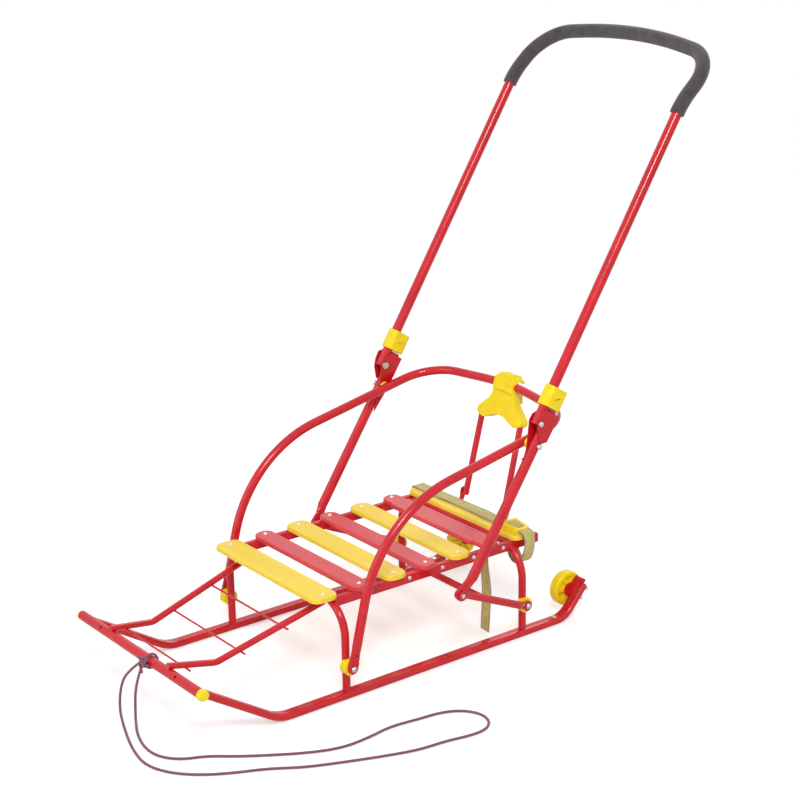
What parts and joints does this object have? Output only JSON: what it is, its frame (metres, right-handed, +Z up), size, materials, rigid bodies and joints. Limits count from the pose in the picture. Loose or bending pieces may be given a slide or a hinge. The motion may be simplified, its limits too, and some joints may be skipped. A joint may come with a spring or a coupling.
{
  "type": "snow sled",
  "caption": "Folding push sled for a child: flat oval runners, slatted seat, bent tube arms and back rail, tall push handle, tow rope and small rear wheels.",
  "frame": {"origin": "on the floor, under the middle of the sled's length and width, without the tow rope", "axes": "+X forward, the way the sled travels; +Y its left side; +Z up"},
  "size_m": [1.0557, 0.5767, 0.8966],
  "materials": {
    "red_paint": "gloss",
    "yellow_plastic": "satin",
    "yellow_slat": "satin",
    "red_slat": "satin",
    "zinc": "satin",
    "foam": "matte",
    "webbing": "matte",
    "rope": "matte"
  },
  "bodies": {
    "back_frame": {"back_frame_tube": "red_paint", "corner_bolts": "zinc", "corner_spacer_left": "yellow_plastic", "corner_spacer_right": "yellow_plastic"},
    "push_bars": {"handle_hinge_bolts": "zinc", "hinge_bracket_left": "red_paint", "hinge_bracket_right": "red_paint", "push_bar_left": "red_paint", "push_bar_right": "red_paint"},
    "links": {"link_cross_tube": "red_paint", "link_left": "red_paint", "link_right": "red_paint", "lower_pin_bolts": "zinc"},
    "strut": {"strut_catch": "yellow_plastic", "strut_tube": "red_paint"},
    "handle": {"grip": "foam", "handle_tube": "red_paint", "lock_sleeve_left": "yellow_plastic", "lock_sleeve_right": "yellow_plastic"},
    "wheel_left": {"wheel_left": "yellow_plastic"},
    "wheel_right": {"wheel_right": "yellow_plastic"},
    "sled": {"arm_saddle_left": "yellow_plastic", "arm_saddle_right": "yellow_plastic", "belt_buckle": "yellow_plastic", "belt_strap": "webbing", "crossbar": "red_paint", "crossbar_cap_left": "yellow_plastic", "crossbar_cap_right": "yellow_plastic", "footrest_rod_left": "red_paint", "footrest_rod_right": "red_paint", "footrest_rung_1": "red_paint", "footrest_rung_2": "red_paint", "footrest_rung_3": "red_paint", "front_leg_arch": "red_paint", "leg_pivot_bolts": "zinc", "link_saddle_left": "yellow_plastic", "link_saddle_right": "yellow_plastic", "rear_leg_arch": "red_paint", "rope_hitch": "rope", "runner_left": "red_paint", "runner_right": "red_paint", "seat_rail_left": "red_paint", "seat_rail_right": "red_paint", "slat_1": "yellow_slat", "slat_2": "red_slat", "slat_3": "yellow_slat", "slat_4": "red_slat", "slat_5": "yellow_slat", "slat_6": "red_slat", "slat_7": "yellow_slat", "strut_hinge": "red_paint", "tail_bolts": "zinc", "tow_rope": "rope", "wheel_bracket_left": "zinc", "wheel_bracket_right": "zinc"}
  },
  "joints": [
    {"name": "back_fold", "type": "hinge", "parent": "sled", "child": "back_frame", "pos_m": [0.228, 0, 0.0523], "axis": [0, -1, 0], "range_deg": [0, 25]},
    {"name": "push_fold", "type": "hinge", "parent": "back_frame", "child": "push_bars", "pos_m": [-0.1019, 0, 0.32806], "axis": [0, -1, 0], "range_deg": [0, 12.5]},
    {"name": "link_fold", "type": "hinge", "parent": "sled", "child": "links", "pos_m": [-0.111, 0, 0.0537], "axis": [0, -1, 0], "range_deg": [-14.8, 0]},
    {"name": "strut_fold", "type": "hinge", "parent": "sled", "child": "strut", "pos_m": [-0.1655, 0, 0.168], "axis": [0, -1, 0], "range_deg": [-92.05, 0]},
    {"name": "handle_fold", "type": "hinge", "parent": "push_bars", "child": "handle", "pos_m": [-0.1053, 0, 0.36315], "axis": [0, 1, 0], "range_deg": [0, 145]},
    {"name": "wheel_left_spin", "type": "hinge", "parent": "sled", "child": "wheel_left", "pos_m": [-0.222, 0.132, 0.042], "axis": [0, 1, 0], "continuous": true},
    {"name": "wheel_right_spin", "type": "hinge", "parent": "sled", "child": "wheel_right", "pos_m": [-0.222, -0.132, 0.042], "axis": [0, 1, 0], "continuous": true}
  ],
  "couplings": [
    {"joint": "push_fold", "follows": "back_fold", "ratio": 0.498},
    {"joint": "link_fold", "follows": "back_fold", "ratio": -0.59},
    {"joint": "strut_fold", "follows": "back_fold", "ratio": -3.68}
  ]
}
